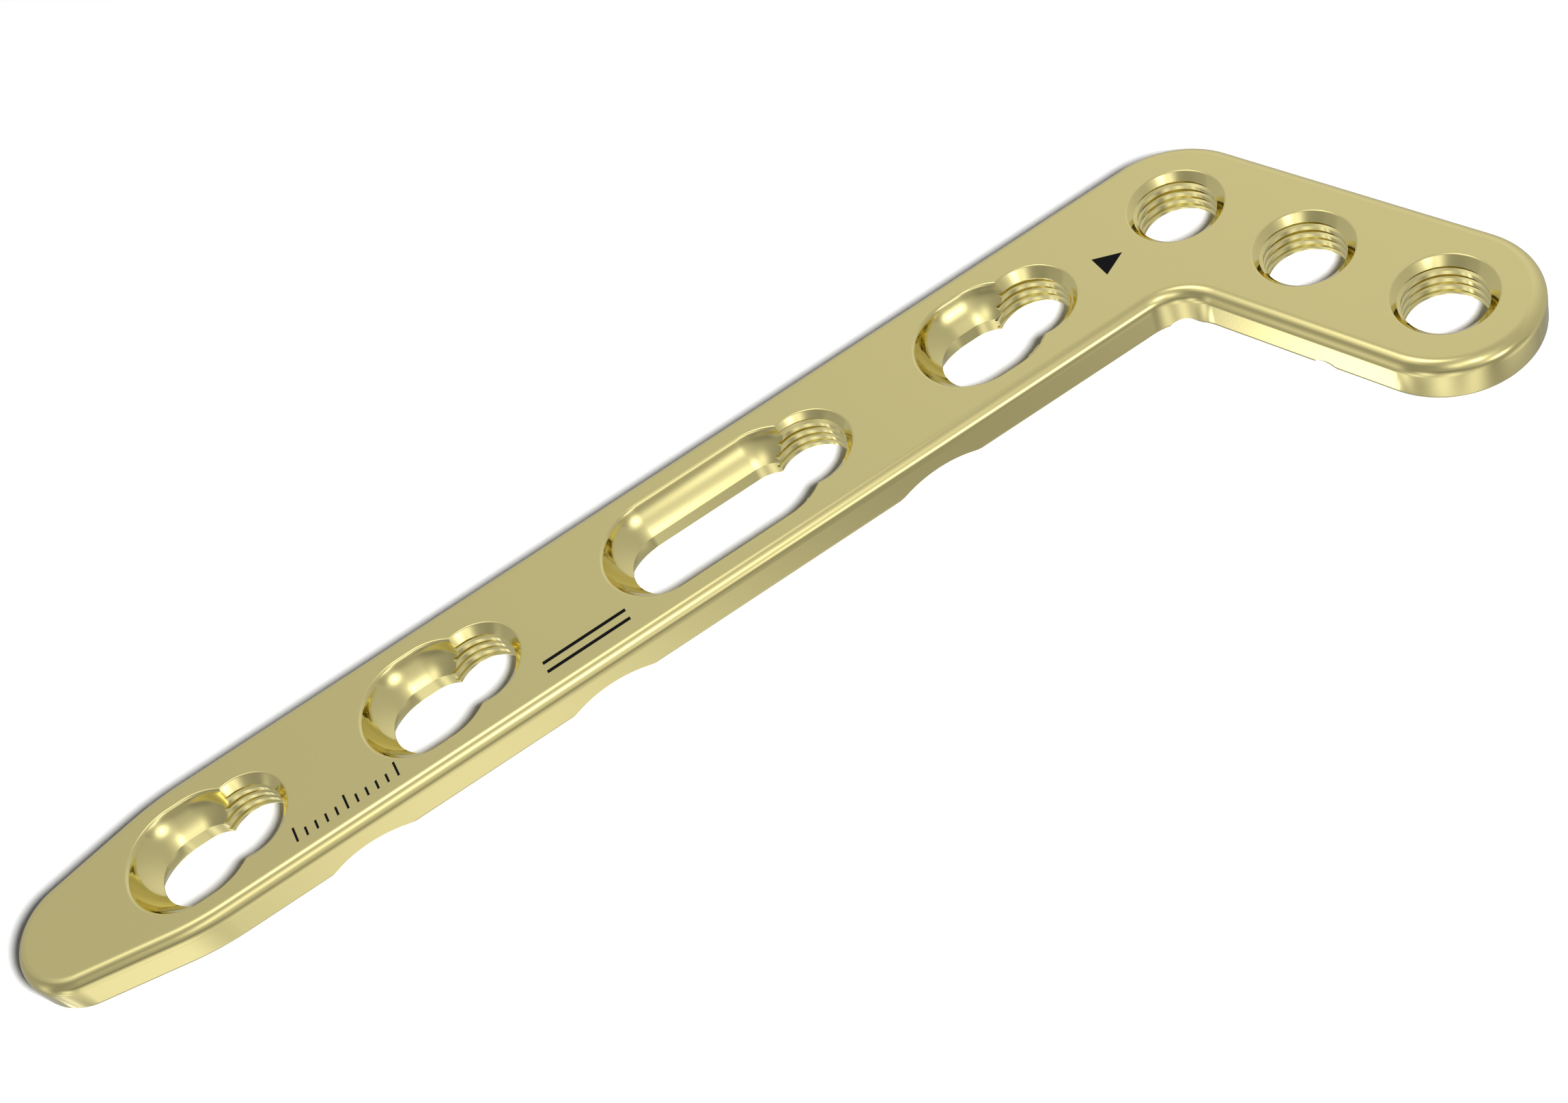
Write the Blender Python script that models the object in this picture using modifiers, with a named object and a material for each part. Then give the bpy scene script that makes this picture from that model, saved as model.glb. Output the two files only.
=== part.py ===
"""Oblique L-shaped locking bone plate, right-hand version, in one piece of gold-anodised titanium.

Run with: blender --background --python part.py

The plate lies on its bone side with +Z up. The shaft runs along X towards the head, and +Y is the
far side, away from the head's free end. The origin is under the middle of the plate's outline.
The empty plate_datum stands on the axis of the first threaded hole, and every hole, slot and
scallop is placed from it.
"""

import math

import bmesh
import bpy
from mathutils import Matrix, Vector

MM = 0.001

# The blank
THICKNESS = 2.22 * MM
TOP_ROUND = 0.69 * MM
FOOT_ROUND = 0.33 * MM
SHAFT_WIDTH = 8.86 * MM

# The tapered tip, measured back from the first threaded hole
TIP_REACH = 12.47 * MM
TAPER_START = 3.78 * MM
TAPER_ANGLE = math.radians(11.84)
TAPER_BLEND = 14.0 * MM

# The head, measured across its row of holes and past the last of them
HEAD_TILT = math.radians(68.96)
HEAD_REACH = 4.31 * MM
HEAD_OUTER_SIDE = 4.28 * MM
HEAD_INNER_SIDE = 4.33 * MM
OUTER_CORNER_RADIUS = 4.64 * MM
INNER_CORNER_RADIUS = 2.55 * MM

# Where the holes are
SHAFT_PITCH = 13.0 * MM
MIDDLE_SPAN = 18.83 * MM
NECK_SPAN = 8.65 * MM
HEAD_PITCH = 7.2 * MM
HEAD_HOLES = 3

# A threaded hole: a countersink over the bore that carries the thread, drawn at its crests
RIM_RADIUS = 2.4 * MM
RIM_BREAK = 0.06 * MM
COUNTERSINK_SLOPE = math.radians(45)
CREST_RADIUS = 1.945 * MM

# A compression slot: a spherical ramp for the screw's head over a straight-walled slot
SLOT_OFFSET = 2.48 * MM
SHORT_TRAVEL = 0.75 * MM
LONG_TRAVEL = 5.87 * MM
SLOT_WIDTH = 3.89 * MM
RAMP_WIDTH = 6.0 * MM
RAMP_CENTRE_RISE = 1.05 * MM
RAMP_RIM_BREAK = 0.13 * MM

# The undercut at the tip side of each slot, for a screw set at an angle
UNDERCUT_RADIUS = 1.93 * MM
UNDERCUT_TILT = math.radians(40)

# Scallops across the underside, and where the head's are along its row of holes
SHAFT_SCALLOP_RADIUS = 5.0 * MM
SHAFT_SCALLOP_DEPTH = 0.72 * MM
HEAD_SCALLOP_RADIUS = 0.75 * MM
HEAD_SCALLOP_DEPTH = 0.5 * MM
FIRST_HEAD_SCALLOP = 3.45 * MM
SECOND_HEAD_SCALLOP = 10.78 * MM

# How finely curves are drawn, and how far a cutter runs past the plate
ARC_STEP = math.radians(6)
TURN_STEPS = 48
SCALLOP_STEPS = 72
EDGE_SEGMENTS = 5
RAMP_SEGMENTS = 6
RIM_SEGMENTS = 2
PAST = 1.0 * MM
SAME_POINT = 0.0001 * MM

TITANIUM_GOLD = (0.52, 0.44, 0.16, 1.0)
TITANIUM_ROUGHNESS = 0.3

shaft_holes = [0.0, SHAFT_PITCH, SHAFT_PITCH + MIDDLE_SPAN, 2 * SHAFT_PITCH + MIDDLE_SPAN]
travels = [SHORT_TRAVEL, SHORT_TRAVEL, LONG_TRAVEL, SHORT_TRAVEL]
head_scallops = [FIRST_HEAD_SCALLOP, SECOND_HEAD_SCALLOP]
along_head = Vector((math.cos(HEAD_TILT), -math.sin(HEAD_TILT)))
across_head = Vector((math.sin(HEAD_TILT), math.cos(HEAD_TILT)))


def head_point(along, across=0.0):
    """A point given along and across the head's row of holes, from its first hole."""
    first = Vector((shaft_holes[-1] + NECK_SPAN, 0))
    return first + along_head * along + across_head * across


def clear_scene():
    for old in list(bpy.data.objects):
        bpy.data.objects.remove(old, do_unlink=True)


def new_collection(name):
    collection = bpy.data.collections.new(name)
    bpy.context.scene.collection.children.link(collection)
    return collection


def titanium():
    material = bpy.data.materials.new("gold_anodised_titanium")
    material.use_nodes = True
    shader = material.node_tree.nodes["Principled BSDF"]
    shader.inputs["Base Color"].default_value = TITANIUM_GOLD
    shader.inputs["Metallic"].default_value = 1.0
    shader.inputs["Roughness"].default_value = TITANIUM_ROUGHNESS
    return material


def mesh_object(name, bm, collection, parent):
    """An object of this bmesh, with its doubles merged."""
    bmesh.ops.remove_doubles(bm, verts=bm.verts, dist=SAME_POINT)
    if bm.faces:
        bmesh.ops.recalc_face_normals(bm, faces=bm.faces)
    mesh = bpy.data.meshes.new(name)
    bm.to_mesh(mesh)
    bm.free()
    made = bpy.data.objects.new(name, mesh)
    collection.objects.link(made)
    made.parent = parent
    return made


def crossing(point, direction, other_point, other_direction):
    """Where two lines in the plane of the plate cross."""
    across = direction.cross(other_direction)
    return point + direction * ((other_point - point).cross(other_direction) / across)


def rounded(corners):
    """A closed outline through (point, radius) corners, an arc at each. None is a full round end."""
    points = []
    for index, (corner, radius) in enumerate(corners):
        last = corners[index - 1]
        following = corners[(index + 1) % len(corners)]
        back = (last[0] - corner).normalized()
        on = (following[0] - corner).normalized()
        half = back.angle(on) / 2
        if radius is None:
            partner = last if last[1] is None else following
            radius = (partner[0] - corner).length / 2 * math.tan(half)
        centre = corner + (back + on).normalized() * (radius / math.sin(half))
        arm = corner + back * (radius / math.tan(half)) - centre
        sweep = math.copysign(math.pi - 2 * half, on.cross(back))
        steps = max(2, math.ceil(abs(sweep) / ARC_STEP))
        for step in range(steps + 1):
            point = centre + Matrix.Rotation(sweep * step / steps, 2) @ arm
            if not points or (point - points[-1]).length > SAME_POINT:
                points.append(point)
    if (points[0] - points[-1]).length <= SAME_POINT:
        points.pop()
    return points


def plate_outline():
    """The plate from above: a tapered round tip, a straight shaft and a head set at an angle."""
    half = SHAFT_WIDTH / 2
    tip_half = half - (TIP_REACH - TAPER_START) * math.tan(TAPER_ANGLE)
    shaft = Vector((1, 0))
    near_side = Vector((0, -half))
    far_side = Vector((0, half))
    inner_corner = crossing(near_side, shaft, head_point(0, -HEAD_INNER_SIDE), along_head)
    outer_corner = crossing(far_side, shaft, head_point(0, HEAD_OUTER_SIDE), along_head)
    head_end = (HEAD_HOLES - 1) * HEAD_PITCH + HEAD_REACH
    return rounded(
        [
            (Vector((-TIP_REACH, -tip_half)), None),
            (Vector((-TAPER_START, -half)), TAPER_BLEND),
            (inner_corner, INNER_CORNER_RADIUS),
            (head_point(head_end, -HEAD_INNER_SIDE), None),
            (head_point(head_end, HEAD_OUTER_SIDE), None),
            (outer_corner, OUTER_CORNER_RADIUS),
            (Vector((-TAPER_START, half)), TAPER_BLEND),
            (Vector((-TIP_REACH, tip_half)), None),
        ]
    )


def flat_bar(outline):
    """A bmesh of the outline as thick as the plate, standing on z = 0."""
    curve = bpy.data.curves.new("outline", "CURVE")
    curve.dimensions = "2D"
    curve.fill_mode = "BOTH"
    curve.extrude = THICKNESS / 2
    spline = curve.splines.new("POLY")
    spline.points.add(len(outline) - 1)
    for place, point in zip(spline.points, outline):
        place.co = (point.x, point.y, 0, 1)
    spline.use_cyclic_u = True
    drawn = bpy.data.objects.new("outline", curve)
    drawn.location.z = THICKNESS / 2
    bpy.context.scene.collection.objects.link(drawn)
    bpy.context.view_layer.update()
    graph = bpy.context.evaluated_depsgraph_get()
    flat = bpy.data.meshes.new_from_object(drawn.evaluated_get(graph))
    bm = bmesh.new()
    bm.from_mesh(flat)
    bm.transform(drawn.matrix_world)
    bpy.data.objects.remove(drawn)
    bpy.data.meshes.remove(flat)
    bmesh.ops.remove_doubles(bm, verts=bm.verts, dist=SAME_POINT)
    bmesh.ops.recalc_face_normals(bm, faces=bm.faces)
    return bm


def blank(collection, parent):
    """The plate before its holes: a wide round along its top edge, a narrow one along its foot."""
    bm = flat_bar(plate_outline())
    for side in (1, -1):
        cap = [face for face in bm.faces if face.normal.z * side > 0.5]
        bmesh.ops.dissolve_faces(bm, faces=cap)
    weight = bm.edges.layers.float.new("bevel_weight_edge")
    widest = max(TOP_ROUND, FOOT_ROUND)
    for edge in bm.edges:
        heights = [vert.co.z for vert in edge.verts]
        if min(heights) > THICKNESS / 2:
            edge[weight] = TOP_ROUND / widest
        elif max(heights) < THICKNESS / 2:
            edge[weight] = FOOT_ROUND / widest
    plate = mesh_object("bone_plate", bm, collection, parent)
    long_edges = plate.modifiers.new("rounded long edges", "BEVEL")
    long_edges.limit_method = "WEIGHT"
    long_edges.width = widest
    long_edges.segments = EDGE_SEGMENTS
    long_edges.use_clamp_overlap = False
    return plate


def arc(centre, radius, start, end, segments):
    """Points (distance out, height) of an arc, its angles counted up from straight out."""
    points = []
    for step in range(segments + 1):
        angle = start + (end - start) * step / segments
        out = centre[0] + radius * math.cos(angle)
        points.append((out, centre[1] + radius * math.sin(angle)))
    return points


def rim(edge, slope, width):
    """The rounded rim between the plate's top and a wall that falls inwards at this slope."""
    radius = width / math.tan(slope / 2)
    centre = (edge + width, THICKNESS - radius)
    return arc(centre, radius, math.pi / 2, math.pi / 2 + slope, RIM_SEGMENTS)


def threaded_hole_profile():
    """Half the section of a threaded hole: in over the rim and countersink, then straight down."""
    top = rim(RIM_RADIUS, COUNTERSINK_SLOPE, RIM_BREAK)
    sink = (RIM_RADIUS - CREST_RADIUS) * math.tan(COUNTERSINK_SLOPE)
    above = THICKNESS + PAST
    bore = [(CREST_RADIUS, THICKNESS - sink), (CREST_RADIUS, -PAST)]
    return [(0, above), (top[0][0], above), *top, *bore, (0, -PAST)]


def slot_profile():
    """Half the section of a slot: in over the rim, down the spherical ramp and the straight wall."""
    sphere_radius = math.hypot(RAMP_WIDTH / 2, RAMP_CENTRE_RISE)
    start = -math.acos(RAMP_WIDTH / 2 / sphere_radius)
    end = -math.acos(SLOT_WIDTH / 2 / sphere_radius)
    top = rim(RAMP_WIDTH / 2, start + math.pi / 2, RAMP_RIM_BREAK)
    sphere_height = THICKNESS + RAMP_CENTRE_RISE
    ramp = arc((0, sphere_height), sphere_radius, start, end, RAMP_SEGMENTS)
    above = THICKNESS + PAST
    foot = (SLOT_WIDTH / 2, -PAST)
    return [(0, above), (top[0][0], above), *top, *ramp[1:], foot, (0, -PAST)]


def draw_profile(bm, profile, turn):
    """Lays a half section (distance out, height) in the bmesh, turned about Z, and gives its edges."""
    facing = Matrix.Rotation(turn, 3, "Z")
    verts = [bm.verts.new(facing @ Vector((out, 0, height))) for out, height in profile]
    return [bm.edges.new(pair) for pair in zip(verts, verts[1:])]


def threaded_hole(name, place, collection, parent):
    bm = bmesh.new()
    draw_profile(bm, threaded_hole_profile(), 0.0)
    cutter = mesh_object(name, bm, collection, parent)
    cutter.location = (place.x, place.y, 0)
    turned = cutter.modifiers.new("turned", "SCREW")
    turned.steps = TURN_STEPS
    turned.render_steps = TURN_STEPS
    turned.use_merge_vertices = True
    turned.merge_threshold = SAME_POINT


def new_edges(geometry):
    """The edges between the points that a spin or an extrusion has just made."""
    verts = {item for item in geometry if isinstance(item, bmesh.types.BMVert)}
    near = {edge for vert in verts for edge in vert.link_edges}
    return list(verts), [edge for edge in near if verts.issuperset(edge.verts)]


def slot(name, hole, travel, collection, parent):
    """The slot's half section spun round one end, drawn along, spun round the other and back."""
    bm = bmesh.new()
    edges = draw_profile(bm, slot_profile(), -math.pi / 2)
    verts = bm.verts[:]
    for end, drawn in ((0.0, -travel), (-travel, travel)):
        half_turn = bmesh.ops.spin(
            bm,
            geom=[*verts, *edges],
            cent=(end, 0, 0),
            axis=(0, 0, 1),
            angle=math.pi,
            steps=TURN_STEPS // 2,
        )
        verts, edges = new_edges(half_turn["geom_last"])
        verts, edges = new_edges(bmesh.ops.extrude_edge_only(bm, edges=edges)["geom"])
        bmesh.ops.translate(bm, verts=verts, vec=(drawn, 0, 0))
    cutter = mesh_object(name, bm, collection, parent)
    cutter.location = (hole - SLOT_OFFSET, 0, 0)


def rod(name, radius, length, collection, parent):
    """A round bar along its own Z, standing on its origin."""
    bm = bmesh.new()
    bmesh.ops.create_cone(
        bm,
        cap_ends=True,
        segments=SCALLOP_STEPS,
        radius1=radius,
        radius2=radius,
        depth=length,
        matrix=Matrix.Translation((0, 0, length / 2)),
    )
    return mesh_object(name, bm, collection, parent)


def undercut_end(hole, travel):
    """Where the axis of a slot's undercut leaves the underside: under the slot's tip-side end."""
    return hole - SLOT_OFFSET - travel


def undercut(name, hole, travel, collection, parent):
    """A round cut from below, leaning towards the tip, at the tip side of a slot."""
    length = THICKNESS * 2 + UNDERCUT_RADIUS * 2
    cutter = rod(name, UNDERCUT_RADIUS, length, collection, parent)
    cutter.location = (undercut_end(hole, travel), 0, 0)
    cutter.rotation_euler = (0, math.pi + UNDERCUT_TILT, 0)


def scallop(name, place, radius, depth, turn, collection, parent):
    """A round bar that lies across the underside and cuts this deep into it."""
    length = SHAFT_WIDTH + HEAD_INNER_SIDE + HEAD_OUTER_SIDE
    cutter = rod(name, radius, length, collection, parent)
    across = Vector((-math.sin(turn), math.cos(turn), 0))
    middle = Vector((place.x, place.y, depth - radius))
    cutter.location = middle - across * (length / 2)
    cutter.rotation_euler = (-math.pi / 2, 0, turn)


def cut_holes(collection, parent):
    for index, (hole, travel) in enumerate(zip(shaft_holes, travels), 1):
        threaded_hole(f"shaft_thread_{index}", Vector((hole, 0)), collection, parent)
        slot(f"slot_{index}", hole, travel, collection, parent)
        undercut(f"undercut_{index}", hole, travel, collection, parent)
    for index in range(HEAD_HOLES):
        place = head_point(index * HEAD_PITCH)
        threaded_hole(f"head_thread_{index + 1}", place, collection, parent)


def cut_scallops(collection, parent):
    """A scallop in the middle of each solid stretch of the shaft, and two across the head."""
    gaps = zip(shaft_holes, shaft_holes[1:], travels[1:])
    for index, (hole, following, travel) in enumerate(gaps, 1):
        from_hole = hole + CREST_RADIUS
        to_slot = undercut_end(following, travel) - UNDERCUT_RADIUS / math.cos(UNDERCUT_TILT)
        middle = Vector(((from_hole + to_slot) / 2, 0))
        size = (SHAFT_SCALLOP_RADIUS, SHAFT_SCALLOP_DEPTH)
        scallop(f"shaft_scallop_{index}", middle, *size, 0.0, collection, parent)
    for index, along in enumerate(head_scallops, 1):
        size = (HEAD_SCALLOP_RADIUS, HEAD_SCALLOP_DEPTH)
        scallop(f"head_scallop_{index}", head_point(along), *size, -HEAD_TILT, collection, parent)


def plate_datum():
    """An empty on the first hole's axis, moved so that the outline's middle is over the origin."""
    outline = plate_outline()
    datum = bpy.data.objects.new("plate_datum", None)
    bpy.context.scene.collection.objects.link(datum)
    for axis in (0, 1):
        places = [point[axis] for point in outline]
        datum.location[axis] = -(min(places) + max(places)) / 2
    return datum


clear_scene()
parts = new_collection("bone_plate")
cutters = new_collection("cutters")
datum = plate_datum()
plate = blank(parts, datum)
plate.data.materials.append(titanium())
plate.data.shade_smooth()
plate.data.set_sharp_from_angle(angle=math.radians(30))
cut_holes(cutters, datum)
cut_scallops(cutters, datum)
for cutter in cutters.objects:
    cutter.hide_render = True
    cutter.display_type = "WIRE"
openings = plate.modifiers.new("holes and scallops", "BOOLEAN")
openings.operand_type = "COLLECTION"
openings.collection = cutters
openings.solver = "EXACT"
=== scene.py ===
"""A gold locking bone plate on a white table, in a pale room with one small lamp."""

import math

import bmesh
import bpy
from mathutils import Matrix, Vector


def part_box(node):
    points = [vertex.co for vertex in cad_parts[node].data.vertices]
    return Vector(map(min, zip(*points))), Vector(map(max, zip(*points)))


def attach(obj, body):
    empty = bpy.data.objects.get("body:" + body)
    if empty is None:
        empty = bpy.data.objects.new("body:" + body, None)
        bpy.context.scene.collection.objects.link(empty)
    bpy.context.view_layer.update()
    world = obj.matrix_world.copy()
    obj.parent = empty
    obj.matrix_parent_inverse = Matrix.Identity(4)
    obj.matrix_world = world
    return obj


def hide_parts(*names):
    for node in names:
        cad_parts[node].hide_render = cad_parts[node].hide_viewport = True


MM = 0.001

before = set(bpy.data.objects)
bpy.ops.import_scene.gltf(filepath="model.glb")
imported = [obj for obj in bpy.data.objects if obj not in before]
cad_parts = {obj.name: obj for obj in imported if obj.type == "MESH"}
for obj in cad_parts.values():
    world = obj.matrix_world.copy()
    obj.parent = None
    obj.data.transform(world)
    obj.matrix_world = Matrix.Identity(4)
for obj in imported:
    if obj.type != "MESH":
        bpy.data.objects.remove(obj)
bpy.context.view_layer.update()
low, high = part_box("bone_plate")

# The blank. The plate is milled from a flat bar of titanium 2.2 mm thick. It has a tapered round
# tip, a straight shaft and a head that slants back. The long edge is well rounded at the top and
# less so at the foot.
THICKNESS = high.z - low.z
TOP_ROUND = 0.69 * MM
FOOT_ROUND = 0.33 * MM
SHAFT_WIDTH = 8.86 * MM
TIP_REACH = 12.47 * MM
TAPER_START = 3.78 * MM
TAPER_ANGLE = math.radians(11.84)
TAPER_BLEND = 14.0 * MM
HEAD_TILT = math.radians(68.96)
HEAD_REACH = 4.31 * MM
HEAD_OUTER_SIDE = 4.28 * MM
HEAD_INNER_SIDE = 4.33 * MM
OUTER_CORNER_RADIUS = 4.64 * MM
INNER_CORNER_RADIUS = 2.55 * MM
SHAFT_PITCH = 13.0 * MM
MIDDLE_SPAN = 18.83 * MM
NECK_SPAN = 8.65 * MM
HEAD_PITCH = 7.2 * MM
HEAD_HOLES = 3
ARC_STEP = math.radians(2.5)
TOP_SEGMENTS = 14
FOOT_SEGMENTS = 8
SAME_POINT = 0.00005 * MM

datum = Vector((low.x + TIP_REACH, high.y - SHAFT_WIDTH / 2, high.z))
shaft_holes = [0.0, SHAFT_PITCH, SHAFT_PITCH + MIDDLE_SPAN, 2 * SHAFT_PITCH + MIDDLE_SPAN]
along_head = Vector((math.cos(HEAD_TILT), -math.sin(HEAD_TILT)))
across_head = Vector((math.sin(HEAD_TILT), math.cos(HEAD_TILT)))


def head_point(along, across=0.0):
    """A point along and across the head's row of holes, counted from its first hole."""
    first = Vector((shaft_holes[-1] + NECK_SPAN, 0))
    return first + along_head * along + across_head * across


def crossing(point, direction, other_point, other_direction):
    """Where two lines in the plane of the plate cross."""
    across = direction.cross(other_direction)
    return point + direction * ((other_point - point).cross(other_direction) / across)


def rounded(corners):
    """A closed outline through (point, radius) corners. A radius of None makes a full round end."""
    points = []
    for index, (corner, radius) in enumerate(corners):
        last = corners[index - 1]
        following = corners[(index + 1) % len(corners)]
        back = (last[0] - corner).normalized()
        on = (following[0] - corner).normalized()
        half = back.angle(on) / 2
        if radius is None:
            partner = last if last[1] is None else following
            radius = (partner[0] - corner).length / 2 * math.tan(half)
        centre = corner + (back + on).normalized() * (radius / math.sin(half))
        arm = corner + back * (radius / math.tan(half)) - centre
        sweep = math.copysign(math.pi - 2 * half, on.cross(back))
        steps = max(2, math.ceil(abs(sweep) / ARC_STEP))
        for step in range(steps + 1):
            point = centre + Matrix.Rotation(sweep * step / steps, 2) @ arm
            if not points or (point - points[-1]).length > SAME_POINT:
                points.append(point)
    if (points[0] - points[-1]).length <= SAME_POINT:
        points.pop()
    return points


def plate_outline():
    half = SHAFT_WIDTH / 2
    tip_half = half - (TIP_REACH - TAPER_START) * math.tan(TAPER_ANGLE)
    shaft = Vector((1, 0))
    inner_line = head_point(0, -HEAD_INNER_SIDE)
    outer_line = head_point(0, HEAD_OUTER_SIDE)
    head_end = (HEAD_HOLES - 1) * HEAD_PITCH + HEAD_REACH
    return rounded(
        [
            (Vector((-TIP_REACH, -tip_half)), None),
            (Vector((-TAPER_START, -half)), TAPER_BLEND),
            (crossing(Vector((0, -half)), shaft, inner_line, along_head), INNER_CORNER_RADIUS),
            (head_point(head_end, -HEAD_INNER_SIDE), None),
            (head_point(head_end, HEAD_OUTER_SIDE), None),
            (crossing(Vector((0, half)), shaft, outer_line, along_head), OUTER_CORNER_RADIUS),
            (Vector((-TAPER_START, half)), TAPER_BLEND),
            (Vector((-TIP_REACH, tip_half)), None),
        ]
    )


def link_mesh(name, bm):
    """An object of this bmesh, its doubles merged and its faces turned outwards."""
    bmesh.ops.remove_doubles(bm, verts=bm.verts, dist=SAME_POINT)
    bmesh.ops.recalc_face_normals(bm, faces=bm.faces)
    mesh = bpy.data.meshes.new(name)
    bm.to_mesh(mesh)
    bm.free()
    made = bpy.data.objects.new(name, mesh)
    bpy.context.scene.collection.objects.link(made)
    return made


def round_edges(bm, height, width, segments):
    """Rounds the edges that lie at this height."""
    level = {vert for vert in bm.verts if abs(vert.co.z - height) < SAME_POINT}
    edges = [edge for edge in bm.edges if level.issuperset(edge.verts)]
    bmesh.ops.bevel(
        bm,
        geom=edges,
        offset=width,
        offset_type="OFFSET",
        segments=segments,
        profile=0.5,
        affect="EDGES",
        clamp_overlap=False,
    )


def milled_bar():
    """The bar cut to the outline, its top at the datum's height, with its long edges rounded."""
    bm = bmesh.new()
    ring = [bm.verts.new((point.x, point.y, -THICKNESS)) for point in plate_outline()]
    foot = bm.faces.new(ring)
    raised = bmesh.ops.extrude_face_region(bm, geom=[foot], use_keep_orig=True)
    top = [item for item in raised["geom"] if isinstance(item, bmesh.types.BMVert)]
    bmesh.ops.translate(bm, verts=top, vec=(0, 0, THICKNESS))
    round_edges(bm, 0.0, TOP_ROUND, TOP_SEGMENTS)
    round_edges(bm, -THICKNESS, FOOT_ROUND, FOOT_SEGMENTS)
    return link_mesh("plate", bm)


plate = milled_bar()

# The openings. Seven round holes are countersunk and bored. Four of them run into a compression
# slot, with a spherical ramp for the screw's head, a straight-walled slot under it and an undercut
# at its tip side. Scallops cross the underside between the holes.
RIM_RADIUS = 2.4 * MM
RIM_BREAK = 0.06 * MM
CREST_RADIUS = 1.945 * MM
SLOT_OFFSET = 2.48 * MM
SHORT_TRAVEL = 0.75 * MM
LONG_TRAVEL = 5.87 * MM
SLOT_WIDTH = 3.89 * MM
RAMP_WIDTH = 6.0 * MM
RAMP_CENTRE_RISE = 1.05 * MM
RAMP_RIM_BREAK = 0.13 * MM
UNDERCUT_RADIUS = 1.93 * MM
UNDERCUT_TILT = math.radians(40)
SHAFT_SCALLOP_RADIUS = 5.0 * MM
SHAFT_SCALLOP_DEPTH = 0.72 * MM
HEAD_SCALLOP_RADIUS = 0.75 * MM
HEAD_SCALLOP_DEPTH = 0.5 * MM
HEAD_SCALLOPS = (3.45 * MM, 10.78 * MM)
HOLE_STEPS = 120
SCALLOP_STEPS = 180
RAMP_SEGMENTS = 14
RIM_SEGMENTS = 4
PAST = 0.6 * MM
UNDERCUT_REACH = 3 * THICKNESS
SCALLOP_REACH = 2 * SHAFT_WIDTH

travels = [SHORT_TRAVEL, SHORT_TRAVEL, LONG_TRAVEL, SHORT_TRAVEL]
cutters = []


def arc(centre, radius, start, end, segments):
    """Points (distance out, height) of an arc, its angles counted up from straight out."""
    points = []
    for step in range(segments + 1):
        angle = start + (end - start) * step / segments
        out = centre[0] + radius * math.cos(angle)
        points.append((out, centre[1] + radius * math.sin(angle)))
    return points


def rim(edge, slope, width):
    """The rounded rim between the plate's top and a wall that falls inwards at this slope."""
    radius = width / math.tan(slope / 2)
    return arc((edge + width, -radius), radius, math.pi / 2, math.pi / 2 + slope, RIM_SEGMENTS)


def hole_profile():
    """In over the rim, down the countersink and straight down through the thread's crests."""
    top = rim(RIM_RADIUS, math.pi / 4, RIM_BREAK)
    foot = -THICKNESS - PAST
    bore = [(CREST_RADIUS, CREST_RADIUS - RIM_RADIUS), (CREST_RADIUS, foot)]
    return [(0, PAST), (top[0][0], PAST), *top, *bore, (0, foot)]


def slot_profile():
    """In over the rim, down the spherical ramp and the straight wall below it."""
    sphere_radius = math.hypot(RAMP_WIDTH / 2, RAMP_CENTRE_RISE)
    start = -math.acos(RAMP_WIDTH / 2 / sphere_radius)
    end = -math.acos(SLOT_WIDTH / 2 / sphere_radius)
    top = rim(RAMP_WIDTH / 2, start + math.pi / 2, RAMP_RIM_BREAK)
    ramp = arc((0, RAMP_CENTRE_RISE), sphere_radius, start, end, RAMP_SEGMENTS)
    below = [point for point in ramp if point[1] < top[-1][1] - SAME_POINT]
    foot = -THICKNESS - PAST
    return [(0, PAST), (top[0][0], PAST), *top, *below, (SLOT_WIDTH / 2, foot), (0, foot)]


def new_edges(geometry):
    """The points and edges that a spin or an extrusion has just made."""
    verts = {item for item in geometry if isinstance(item, bmesh.types.BMVert)}
    near = {edge for vert in verts for edge in vert.link_edges}
    return list(verts), [edge for edge in near if verts.issuperset(edge.verts)]


def spun(name, profile, travel, place):
    """A half section spun round one end, drawn along the shaft, spun round the other and back."""
    bm = bmesh.new()
    verts = [bm.verts.new((0, -out, height)) for out, height in profile]
    edges = [bm.edges.new(pair) for pair in zip(verts, verts[1:])]
    for end, drawn in ((0.0, -travel), (-travel, travel)):
        half_turn = bmesh.ops.spin(
            bm,
            geom=[*verts, *edges],
            cent=(end, 0, 0),
            axis=(0, 0, 1),
            angle=math.pi,
            steps=HOLE_STEPS // 2,
        )
        verts, edges = new_edges(half_turn["geom_last"])
        if travel:
            verts, edges = new_edges(bmesh.ops.extrude_edge_only(bm, edges=edges)["geom"])
            bmesh.ops.translate(bm, verts=verts, vec=(drawn, 0, 0))
    bmesh.ops.translate(bm, verts=bm.verts, vec=(place.x, place.y, 0))
    cutters.append(link_mesh(name, bm))


def bar(name, radius, start, direction, length):
    """A round bar from a point along a direction."""
    bm = bmesh.new()
    turn = Vector((0, 0, 1)).rotation_difference(direction).to_matrix().to_4x4()
    bmesh.ops.create_cone(
        bm,
        cap_ends=True,
        segments=SCALLOP_STEPS,
        radius1=radius,
        radius2=radius,
        depth=length,
        matrix=Matrix.Translation(start) @ turn @ Matrix.Translation((0, 0, length / 2)),
    )
    cutters.append(link_mesh(name, bm))


def undercut_foot(hole, travel):
    """Where the undercut's axis leaves the underside, under the slot's tip-side end."""
    return Vector((hole - SLOT_OFFSET - travel, 0, -THICKNESS))


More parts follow.
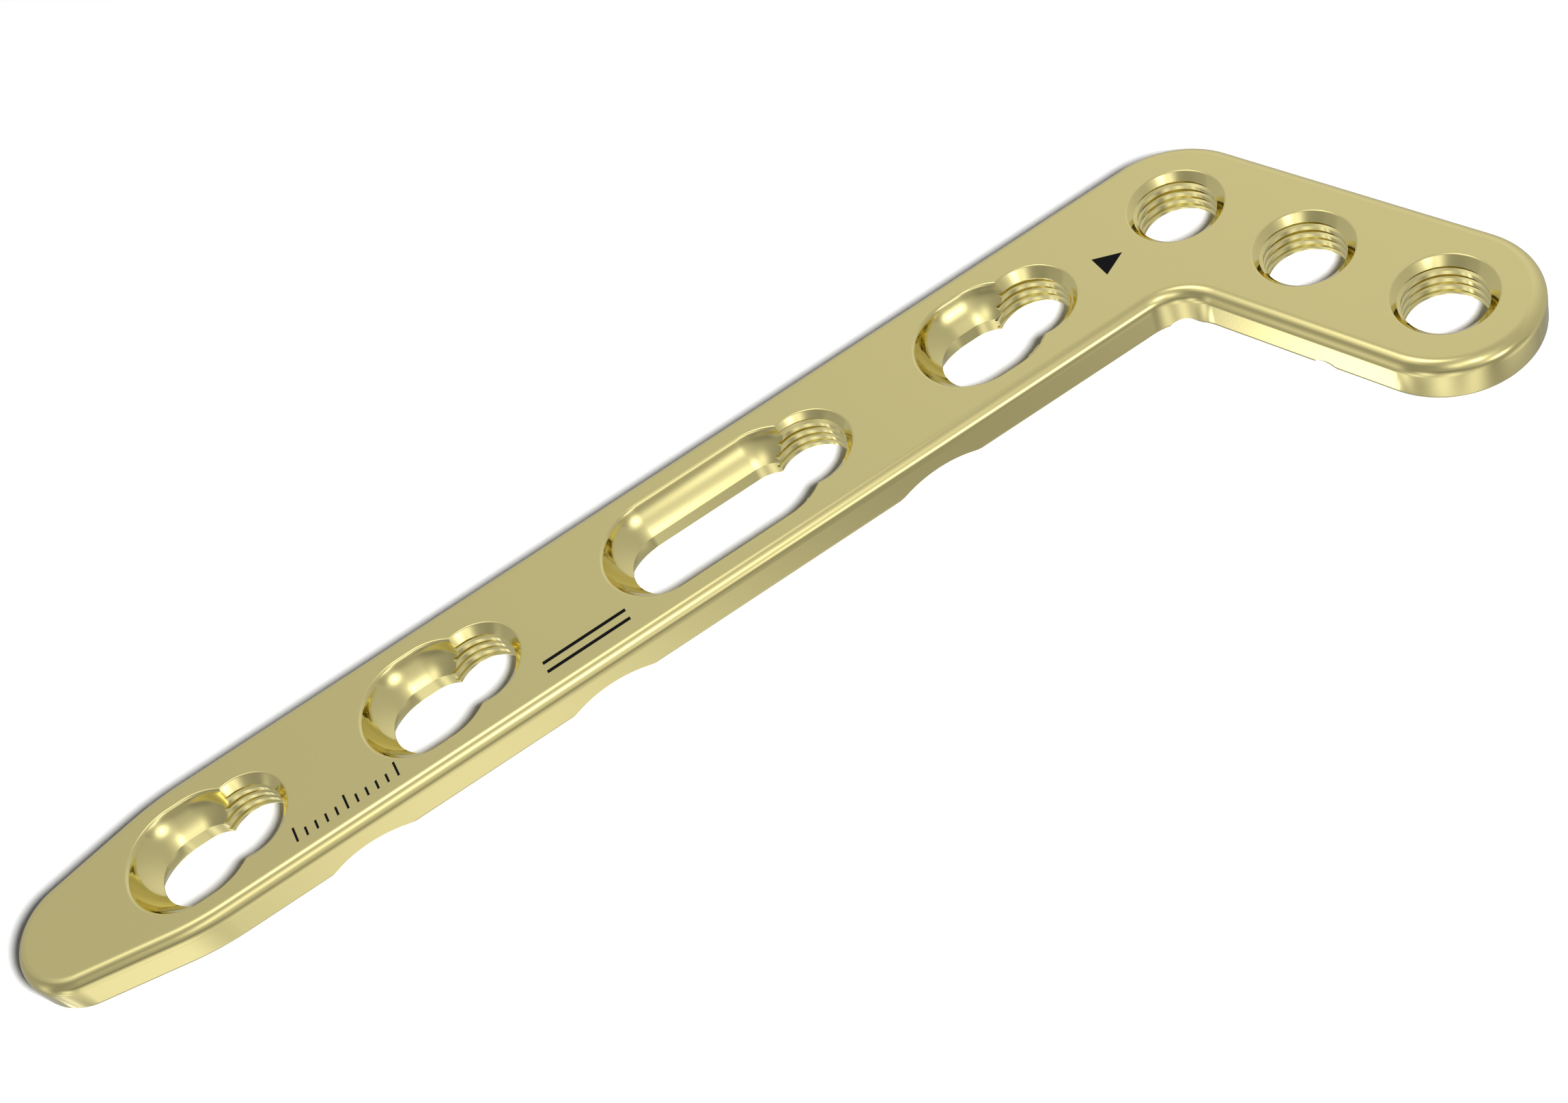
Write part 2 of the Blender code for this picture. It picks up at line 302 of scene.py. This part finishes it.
round_holes = [Vector((hole, 0)) for hole in shaft_holes]
round_holes += [head_point(index * HEAD_PITCH) for index in range(HEAD_HOLES)]
for place in round_holes:
    spun("hole", hole_profile(), 0.0, place)
lean = Vector((-math.sin(UNDERCUT_TILT), 0, -math.cos(UNDERCUT_TILT)))
for hole, travel in zip(shaft_holes, travels):
    spun("slot", slot_profile(), travel, Vector((hole - SLOT_OFFSET, 0)))
    bar("undercut", UNDERCUT_RADIUS, undercut_foot(hole, travel), lean, UNDERCUT_REACH)
for hole, following, travel in zip(shaft_holes, shaft_holes[1:], travels[1:]):
    to_slot = undercut_foot(following, travel).x - UNDERCUT_RADIUS / math.cos(UNDERCUT_TILT)
    middle = (hole + CREST_RADIUS + to_slot) / 2
    height = SHAFT_SCALLOP_DEPTH - THICKNESS - SHAFT_SCALLOP_RADIUS
    start = Vector((middle, -SCALLOP_REACH / 2, height))
    bar("shaft_scallop", SHAFT_SCALLOP_RADIUS, start, Vector((0, 1, 0)), SCALLOP_REACH)
for along in HEAD_SCALLOPS:
    height = HEAD_SCALLOP_DEPTH - THICKNESS - HEAD_SCALLOP_RADIUS
    start = head_point(along, -SCALLOP_REACH / 2).to_3d() + Vector((0, 0, height))
    bar("head_scallop", HEAD_SCALLOP_RADIUS, start, across_head.to_3d(), SCALLOP_REACH)

# The finish. The plate is polished to a satin gloss and anodised to a pale gold. The laser marks on
# its top are plain ones: a scale, two bars and an arrow towards the head. Their places count from
# the first slot's threaded hole.
GOLD = (0.82, 0.73, 0.33, 1.0)
MARK_BLACK = (0.012, 0.012, 0.013, 1.0)
SATIN = 0.085
GRAIN_SIZE = 0.11 * MM
GRAIN_TONE = 0.02
GRAIN_GLOSS = 0.03
GRAIN_BUMP = 0.06
GRAIN_HEIGHT = 0.01 * MM
CLOUD_SIZE = 1.6 * MM
CLOUD_TONE = 0.012
DARKEST_TONE = 0.985
MARK_DULLING = 0.4
MARK_DEPTH = 0.02 * MM
TICKS_FROM = 2.0 * MM
TICKS_LOW = -3.25 * MM
TICKS_HIGH = -2.35 * MM
TICK_PITCH = 0.55 * MM
TICK_COUNT = 11
TICK_GROUP = 5
TICK_HALF_WIDTH = 0.06 * MM
SHORT_TICK = 0.6
BARS_MIDDLE = 18.1 * MM
BARS_ACROSS = (-2.95 * MM, -2.35 * MM)
BAR_HALF_LENGTH = 2.3 * MM
BAR_HALF_WIDTH = 0.1 * MM
ARROW_TIP = (49.9 * MM, -0.65 * MM)
ARROW_LENGTH = 1.35 * MM
ARROW_HALF_BASE = 0.7 * MM


class Value:
    """A socket that Python's operators work on. Each of them adds its Math node."""

    def __init__(self, nodes, socket):
        self.nodes = nodes
        self.socket = socket

    def math(self, operation, *inputs):
        given = {f"_{index}": value for index, value in enumerate(inputs)}
        return self.nodes.value("ShaderNodeMath", {"operation": operation}, **given)

    def __add__(self, other):
        return self.math("ADD", self, other)

    def __radd__(self, other):
        return self.math("ADD", other, self)

    def __sub__(self, other):
        return self.math("SUBTRACT", self, other)

    def __rsub__(self, other):
        return self.math("SUBTRACT", other, self)

    def __mul__(self, other):
        return self.math("MULTIPLY", self, other)

    def __rmul__(self, other):
        return self.math("MULTIPLY", other, self)

    def __truediv__(self, other):
        return self.math("DIVIDE", self, other)

    def __rtruediv__(self, other):
        return self.math("DIVIDE", other, self)

    def __rpow__(self, other):
        return self.math("POWER", other, self)

    def __abs__(self):
        return self.math("ABSOLUTE", self)

    def rounded(self):
        return self.math("ROUND", self)

    def __lt__(self, other):
        return self.math("LESS_THAN", self, other)

    def __gt__(self, other):
        return self.math("GREATER_THAN", self, other)


class Nodes:
    """Adds nodes to a tree. A node's settings come first, and then its sockets' values or links."""

    def __init__(self, tree):
        self.tree = tree
        self.tree.nodes.clear()

    def add(self, kind, settings=None, **sockets):
        made = self.tree.nodes.new(kind)
        for name, value in (settings or {}).items():
            setattr(made, name, value)
        for name, value in sockets.items():
            label = name.replace("_", " ")
            socket = made.inputs[int(label[1:]) if label[1:].isdigit() else label]
            if isinstance(value, Value):
                value = value.socket
            if isinstance(value, bpy.types.NodeSocket):
                self.tree.links.new(value, socket)
            else:
                socket.default_value = value
        return made

    def value(self, kind, settings=None, output=0, **sockets):
        """The output of a new node, ready for sums."""
        return Value(self, self.add(kind, settings, **sockets).outputs[output])


def titanium():
    made = bpy.data.materials.new("gold_anodised_titanium")
    made.use_nodes = True
    nodes = Nodes(made.node_tree)
    place = nodes.add("ShaderNodeTexCoord").outputs["Object"]
    split = nodes.add("ShaderNodeSeparateXYZ", Vector=place)
    x, y, z = [Value(nodes, split.outputs[axis]) for axis in range(3)]
    along, across, rise = x - datum.x, y - datum.y, z - datum.z
    grain = nodes.value("ShaderNodeTexNoise", Vector=place, Scale=1 / GRAIN_SIZE, Detail=2.0)
    cloud = nodes.value("ShaderNodeTexNoise", Vector=place, Scale=1 / CLOUD_SIZE, Detail=3.0)

    def ticks():
        """A row of upright strokes. One at each group's start is full height, the rest shorter."""
        steps = (along - TICKS_FROM) / TICK_PITCH
        number = steps.rounded()
        stroke = abs(steps - number) < TICK_HALF_WIDTH / TICK_PITCH
        inside = (number > -0.5) * (number < TICK_COUNT - 0.5)
        full = abs((number / TICK_GROUP).rounded() * TICK_GROUP - number) < 0.5
        share = SHORT_TICK + (1 - SHORT_TICK) * full
        height = TICKS_LOW + (TICKS_HIGH - TICKS_LOW) * share
        return stroke * inside * (across > TICKS_LOW) * (across < height)

    def bar_mark(middle):
        beside = abs(along - BARS_MIDDLE) < BAR_HALF_LENGTH
        return beside * (abs(across - middle) < BAR_HALF_WIDTH)

    def arrow():
        back = ARROW_TIP[0] - along
        half_width = back * (ARROW_HALF_BASE / ARROW_LENGTH)
        return (abs(across - ARROW_TIP[1]) < half_width) * (back < ARROW_LENGTH)

    marks = ticks() + bar_mark(BARS_ACROSS[0]) + bar_mark(BARS_ACROSS[1]) + arrow()
    marks = marks * (rise > -MARK_DEPTH)
    tone = DARKEST_TONE + GRAIN_TONE * grain + CLOUD_TONE * cloud
    metal = nodes.add(
        "ShaderNodeMix",
        {"data_type": "RGBA", "blend_type": "MULTIPLY"},
        _0=1.0,
        _6=GOLD,
        _7=nodes.add("ShaderNodeCombineColor", Red=tone, Green=tone, Blue=tone).outputs[0],
    )
    colour = nodes.add(
        "ShaderNodeMix", {"data_type": "RGBA"}, _0=marks, _6=metal.outputs[2], _7=MARK_BLACK
    )
    bump = nodes.add(
        "ShaderNodeBump", Strength=GRAIN_BUMP, Distance=GRAIN_HEIGHT, Height=grain
    )
    shader = nodes.add(
        "ShaderNodeBsdfPrincipled",
        Base_Color=colour.outputs[2],
        Metallic=1.0,
        Roughness=SATIN + GRAIN_GLOSS * (grain - 0.5) + MARK_DULLING * marks,
        Normal=bump.outputs[0],
    )
    nodes.add("ShaderNodeOutputMaterial", Surface=shader.outputs[0])
    return made


finish = titanium()
plate.data.materials.append(finish)

# The threads. A right-hand thread of 0.5 mm pitch is tapped into each round hole. Its groove
# follows a spiral as the tap turns, and runs out in the countersink. Each hole's thread starts at
# its own angle.
THREAD_PITCH = 0.5 * MM
THREAD_DEPTH = 0.2 * MM
THREAD_FLANK = math.radians(30)
THREAD_ROOT = 0.04 * MM
THREAD_OVERLAP = 0.1 * MM
SHAFT_THREAD_STARTS = [83, 81, 327, 166]
HEAD_THREAD_STARTS = [26, 42, 48]


def tap_tree():
    """Sweeps the groove's section, a trapezoid lying outwards, along a spiral."""
    tree = bpy.data.node_groups.new("tap", "GeometryNodeTree")
    sizes = ("Radius", "Height", "Turns", "Depth", "Overlap", "Mouth", "Root")
    for name in (*sizes, "Start Angle"):
        tree.interface.new_socket(name, in_out="INPUT", socket_type="NodeSocketFloat")
    tree.interface.new_socket("Place", in_out="INPUT", socket_type="NodeSocketVector")
    tree.interface.new_socket("Steps", in_out="INPUT", socket_type="NodeSocketInt")
    tree.interface.new_socket("Finish", in_out="INPUT", socket_type="NodeSocketMaterial")
    tree.interface.new_socket("Geometry", in_out="OUTPUT", socket_type="NodeSocketGeometry")
    nodes = Nodes(tree)
    add = nodes.add
    given = add("NodeGroupInput").outputs
    spiral = add(
        "GeometryNodeCurveSpiral",
        Resolution=given["Steps"],
        Rotations=given["Turns"],
        Start_Radius=given["Radius"],
        End_Radius=given["Radius"],
        Height=given["Height"],
        Reverse=True,
    )
    level = add("GeometryNodeSetCurveNormal", {"mode": "Z_UP"}, Curve=spiral.outputs[0])
    depth = Value(nodes, given["Depth"])
    overlap = Value(nodes, given["Overlap"])
    section = add(
        "GeometryNodeCurvePrimitiveQuadrilateral",
        {"mode": "TRAPEZOID"},
        Height=depth + overlap,
        Bottom_Width=given["Mouth"],
        Top_Width=given["Root"],
        Offset=0.0,
    )
    outwards = add("ShaderNodeCombineXYZ", X=(depth - overlap) * 0.5)
    lying = add(
        "GeometryNodeTransform",
        Geometry=section.outputs[0],
        Translation=outwards.outputs[0],
        Rotation=(0.0, 0.0, -math.pi / 2),
    )
    swept = add(
        "GeometryNodeCurveToMesh",
        Curve=level.outputs[0],
        Profile_Curve=lying.outputs[0],
        Fill_Caps=True,
    )
    turned = add("ShaderNodeCombineXYZ", Z=given["Start Angle"])
    placed = add(
        "GeometryNodeTransform",
        Geometry=swept.outputs[0],
        Translation=given["Place"],
        Rotation=turned.outputs[0],
    )
    real = add("GeometryNodeRealizeInstances", Geometry=placed.outputs[0])
    finished = add("GeometryNodeSetMaterial", Geometry=real.outputs[0], Material=given["Finish"])
    add("NodeGroupOutput", _0=finished.outputs[0])
    return tree


def evaluated_mesh(piece):
    """The mesh that a piece's modifiers make, as a plain one."""
    shown = piece.evaluated_get(bpy.context.evaluated_depsgraph_get())
    return bpy.data.meshes.new_from_object(shown)


tap = tap_tree()
tap_foot = -THICKNESS - PAST
thread_starts = [*SHAFT_THREAD_STARTS, *HEAD_THREAD_STARTS]
for place, angle in zip(round_holes, thread_starts):
    groove = bpy.data.objects.new("thread", bpy.data.meshes.new("thread"))
    bpy.context.scene.collection.objects.link(groove)
    sweep = groove.modifiers.new("tap", "NODES")
    sweep.node_group = tap
    given = {
        "Radius": CREST_RADIUS,
        "Height": -tap_foot,
        "Turns": -tap_foot / THREAD_PITCH,
        "Depth": THREAD_DEPTH,
        "Overlap": THREAD_OVERLAP,
        "Mouth": THREAD_ROOT + 2 * (THREAD_DEPTH + THREAD_OVERLAP) * math.tan(THREAD_FLANK),
        "Root": THREAD_ROOT,
        "Start Angle": math.radians(angle) + 2 * math.pi * tap_foot / THREAD_PITCH,
        "Place": (place.x, place.y, tap_foot),
        "Steps": HOLE_STEPS,
        "Finish": finish,
    }
    for item in tap.interface.items_tree:
        if item.name in given:
            sweep[item.identifier] = given[item.name]
    cut = evaluated_mesh(groove)
    groove.modifiers.clear()
    groove.data = cut
    cutters.append(groove)

# The machining. Everything is cut in one go, and the edges that the tools leave stay crisp.
SHARP_EDGE = math.radians(28)
LARGE_FACES_FIRST = 100

tools = bpy.data.collections.new("tools")
for cutter in cutters:
    tools.objects.link(cutter)
milling = plate.modifiers.new("milling", "BOOLEAN")
milling.operand_type = "COLLECTION"
milling.collection = tools
milling.solver = "EXACT"
milled = evaluated_mesh(plate)
plate.modifiers.clear()
for cutter in cutters:
    bpy.data.objects.remove(cutter)
bpy.data.collections.remove(tools)
bm = bmesh.new()
bm.from_mesh(milled)
bmesh.ops.dissolve_degenerate(bm, dist=SAME_POINT, edges=bm.edges)
bm.to_mesh(milled)
bm.free()
milled.transform(Matrix.Translation(datum))
milled.shade_smooth()
milled.set_sharp_from_angle(angle=SHARP_EDGE)
plate.data = milled
settle = plate.modifiers.new("settle", "WEIGHTED_NORMAL")
settle.keep_sharp = True
settle.weight = LARGE_FACES_FIRST
settled = evaluated_mesh(plate)
plate.modifiers.clear()
plate.data = settled
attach(plate, "root")
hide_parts("bone_plate")

# The table, a plain white sheet that the plate lies on. Away from the plate it runs out into the
# white backdrop. The metal shows the room instead of it.
TABLE_HALF = 400 * MM
PAPER = (0.8, 0.8, 0.8, 1.0)
BACKDROP_FROM = 50 * MM
BACKDROP_FULL = 85 * MM

bm = bmesh.new()
bmesh.ops.create_grid(bm, x_segments=1, y_segments=1, size=TABLE_HALF)
table = link_mesh("table", bm)
for corner in table.data.vertices:
    corner.co.z = low.z
white = bpy.data.materials.new("white_table")
white.use_nodes = True
nodes = Nodes(white.node_tree)
place = nodes.add("ShaderNodeTexCoord").outputs["Object"]
away = nodes.value("ShaderNodeVectorMath", {"operation": "LENGTH"}, "Value", Vector=place)
fade = nodes.value(
    "ShaderNodeMapRange",
    {"interpolation_type": "SMOOTHSTEP"},
    Value=away,
    From_Min=BACKDROP_FROM,
    From_Max=BACKDROP_FULL,
)
paper = nodes.add("ShaderNodeBsdfDiffuse", Color=PAPER)
backdrop = nodes.add("ShaderNodeEmission", Strength=1.0)
sheet = nodes.add("ShaderNodeMixShader", _0=fade, _1=paper.outputs[0], _2=backdrop.outputs[0])
nodes.add("ShaderNodeOutputMaterial", Surface=sheet.outputs[0])
table.data.materials.append(white)
table.visible_glossy = False
table.visible_shadow = False

# The camera, close above the near side and turned on its axis as the photograph is.
CAMERA_PLACE = (22.206 * MM, -65.729 * MM, 70.7 * MM)
CAMERA_TURN = (37.0991, 18.6315, -28.3717)
LENS = 46.276
SENSOR = 36.0
CLIP_START = 5 * MM

view = bpy.data.cameras.new("camera")
view.lens = LENS
view.sensor_width = SENSOR
view.clip_start = CLIP_START
camera = bpy.data.objects.new("camera", view)
camera.location = Vector(CAMERA_PLACE) + datum
camera.rotation_euler = [math.radians(angle) for angle in CAMERA_TURN]
bpy.context.scene.collection.objects.link(camera)
bpy.context.scene.camera = camera
bpy.context.scene.view_settings.view_transform = "Standard"

# The studio. The room is pale, with soft oval panels round it that the metal shows. Each panel is
# given by its azimuth, elevation, half-width and half-height in degrees, and by how much brighter
# or darker than the room it is. A small even lamp just right of the camera lights the table and
# casts the plate's shadow on it.
ROOM = 0.43
SHADE = 0.1
WHITE = (1.0, 1.0, 1.0, 1.0)
PANELS = [
    (127, 77, 8, 9, 1.65),
    (156, 63, 13, 11, 0.55),
    (-95, 50, 5, 7, 1.6),
    (-119, 46, 8, 12, 0.75),
    (-90, 48, 12, 23, 0.55),
    (-76, 17, 8, 7, 2.2),
    (41, 33, 42, 36, 0.34),
    (-169, 37, 18, 60, -0.11),
    (-138, -49, 9, 15, 0.66),
    (-99, -41, 9, 25, 0.84),
    (-164, -33, 7, 9, 0.75),
    (-125, -23, 9, 15, 0.76),
    (163, -50, 3, 3.5, 1.8),
    (179, -46, 5, 6, 0.68),
    (-61, -34, 21, 14, 0.66),
    (-87, -36, 22, 17, -0.65),
    (-98, -4, 12, 9, -0.24),
    (41, -53, 60, 7, -0.14),
    (-151, -13, 7, 11, 0.74),
    (179, 1, 7, 17, 0.39),
    (-126, 7, 22, 6, -0.2),
    (-107, -28, 7, 21, 0.14),
]

world = bpy.data.worlds.new("room")
world.use_nodes = True
# The room isn't sampled as a lamp, because a lamp's sample doesn't know the kind of its ray.
world.cycles.sampling_method = "NONE"
nodes = Nodes(world.node_tree)
heading = nodes.add("ShaderNodeTexCoord").outputs["Generated"]


def towards(direction):
    """How far the heading points along a direction."""
    return nodes.value(
        "ShaderNodeVectorMath", {"operation": "DOT_PRODUCT"}, 1, _0=heading, _1=direction
    )


room = ROOM
for azimuth, elevation, half_width, half_height, strength in PANELS:
    turn = Matrix.Rotation(math.radians(azimuth), 3, "Z")
    rise = Matrix.Rotation(math.radians(-elevation), 3, "Y")
    out, side, up = (turn @ rise).col
    across = towards(side) / math.sin(math.radians(half_width))
    along = towards(up) / math.sin(math.radians(half_height))
    room = room + strength * 0.5 ** (across * across + along * along) * (towards(out) > 0)
# The camera sees white, reflections see the room, and the table's shadow gets a little even light.
rays = nodes.add("ShaderNodeLightPath").outputs
seen = Value(nodes, rays["Is Camera Ray"])
mirrored = Value(nodes, rays["Is Glossy Ray"])
strength = seen + mirrored * room + (1 - seen) * (1 - mirrored) * SHADE
light = nodes.add("ShaderNodeBackground", Color=WHITE, Strength=strength)
nodes.add("ShaderNodeOutputWorld", Surface=light.outputs[0])
bpy.context.scene.world = world

LAMP_SHIFT = 22 * MM
LAMP_RADIUS = 12 * MM
LAMP_AZIMUTH = math.radians(-42)
LAMP_POWER = 1.0
LAMP_STRENGTH = 110.0

bulb = bpy.data.lights.new("lamp", "POINT")
bulb.shadow_soft_size = LAMP_RADIUS
bulb.energy = LAMP_POWER
bulb.use_nodes = True
nodes = Nodes(bulb.node_tree)
even = nodes.add("ShaderNodeLightFalloff", Strength=LAMP_STRENGTH)
glow = nodes.add("ShaderNodeEmission", Strength=even.outputs["Constant"])
nodes.add("ShaderNodeOutputLight", Surface=glow.outputs[0])
lamp = bpy.data.objects.new("lamp", bulb)
beside = Vector((math.cos(LAMP_AZIMUTH), math.sin(LAMP_AZIMUTH), 0))
lamp.location = camera.location + beside * LAMP_SHIFT
lamp.visible_glossy = False
bpy.context.scene.collection.objects.link(lamp)
